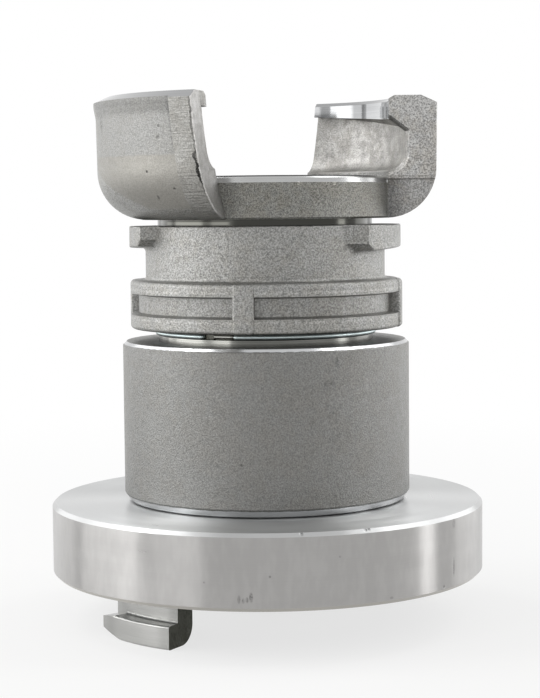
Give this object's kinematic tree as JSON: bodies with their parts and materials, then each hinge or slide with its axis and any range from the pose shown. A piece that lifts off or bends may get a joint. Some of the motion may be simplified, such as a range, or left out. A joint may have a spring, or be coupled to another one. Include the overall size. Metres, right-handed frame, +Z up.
{
  "type": "fire hose coupling adapter",
  "caption": "Fire hose coupling adapter that joins a claw coupling with a free locking ring to a larger lug coupling through a threaded sleeve.",
  "frame": {"origin": "on the axis of the waterway, in the plane that the two lugs stand on", "axes": "+Z up along the waterway from the lug coupling to the claw coupling, +X through the middle of one claw horn"},
  "size_m": [0.098, 0.098, 0.1179],
  "materials": {
    "claw_aluminium": "blasted casting with turned neck, rim and horn tops",
    "ring_aluminium": "blasted casting",
    "sleeve_aluminium": "fine satin, turned",
    "disc_aluminium": "turned and polished, blasted lugs",
    "seal_rubber": "matte black",
    "gasket_fibre": "matte dark red",
    "zinc_plate": "bright zinc with a blue cast"
  },
  "bodies": {
    "adapter": {"lug_disc": "disc_aluminium", "lug_seal": "seal_rubber", "sleeve": "sleeve_aluminium", "lower_gasket": "gasket_fibre", "upper_gasket": "gasket_fibre", "claw_head": "claw_aluminium", "claw_seal": "seal_rubber", "retaining_ring": "zinc_plate"},
    "locking_ring": {"locking_ring": "ring_aluminium"}
  },
  "joints": [
    {"name": "ring_turn", "type": "hinge", "parent": "adapter", "child": "locking_ring", "pos_m": [0, 0, 0.0778], "axis": [0, 0, 1], "continuous": true}
  ]
}
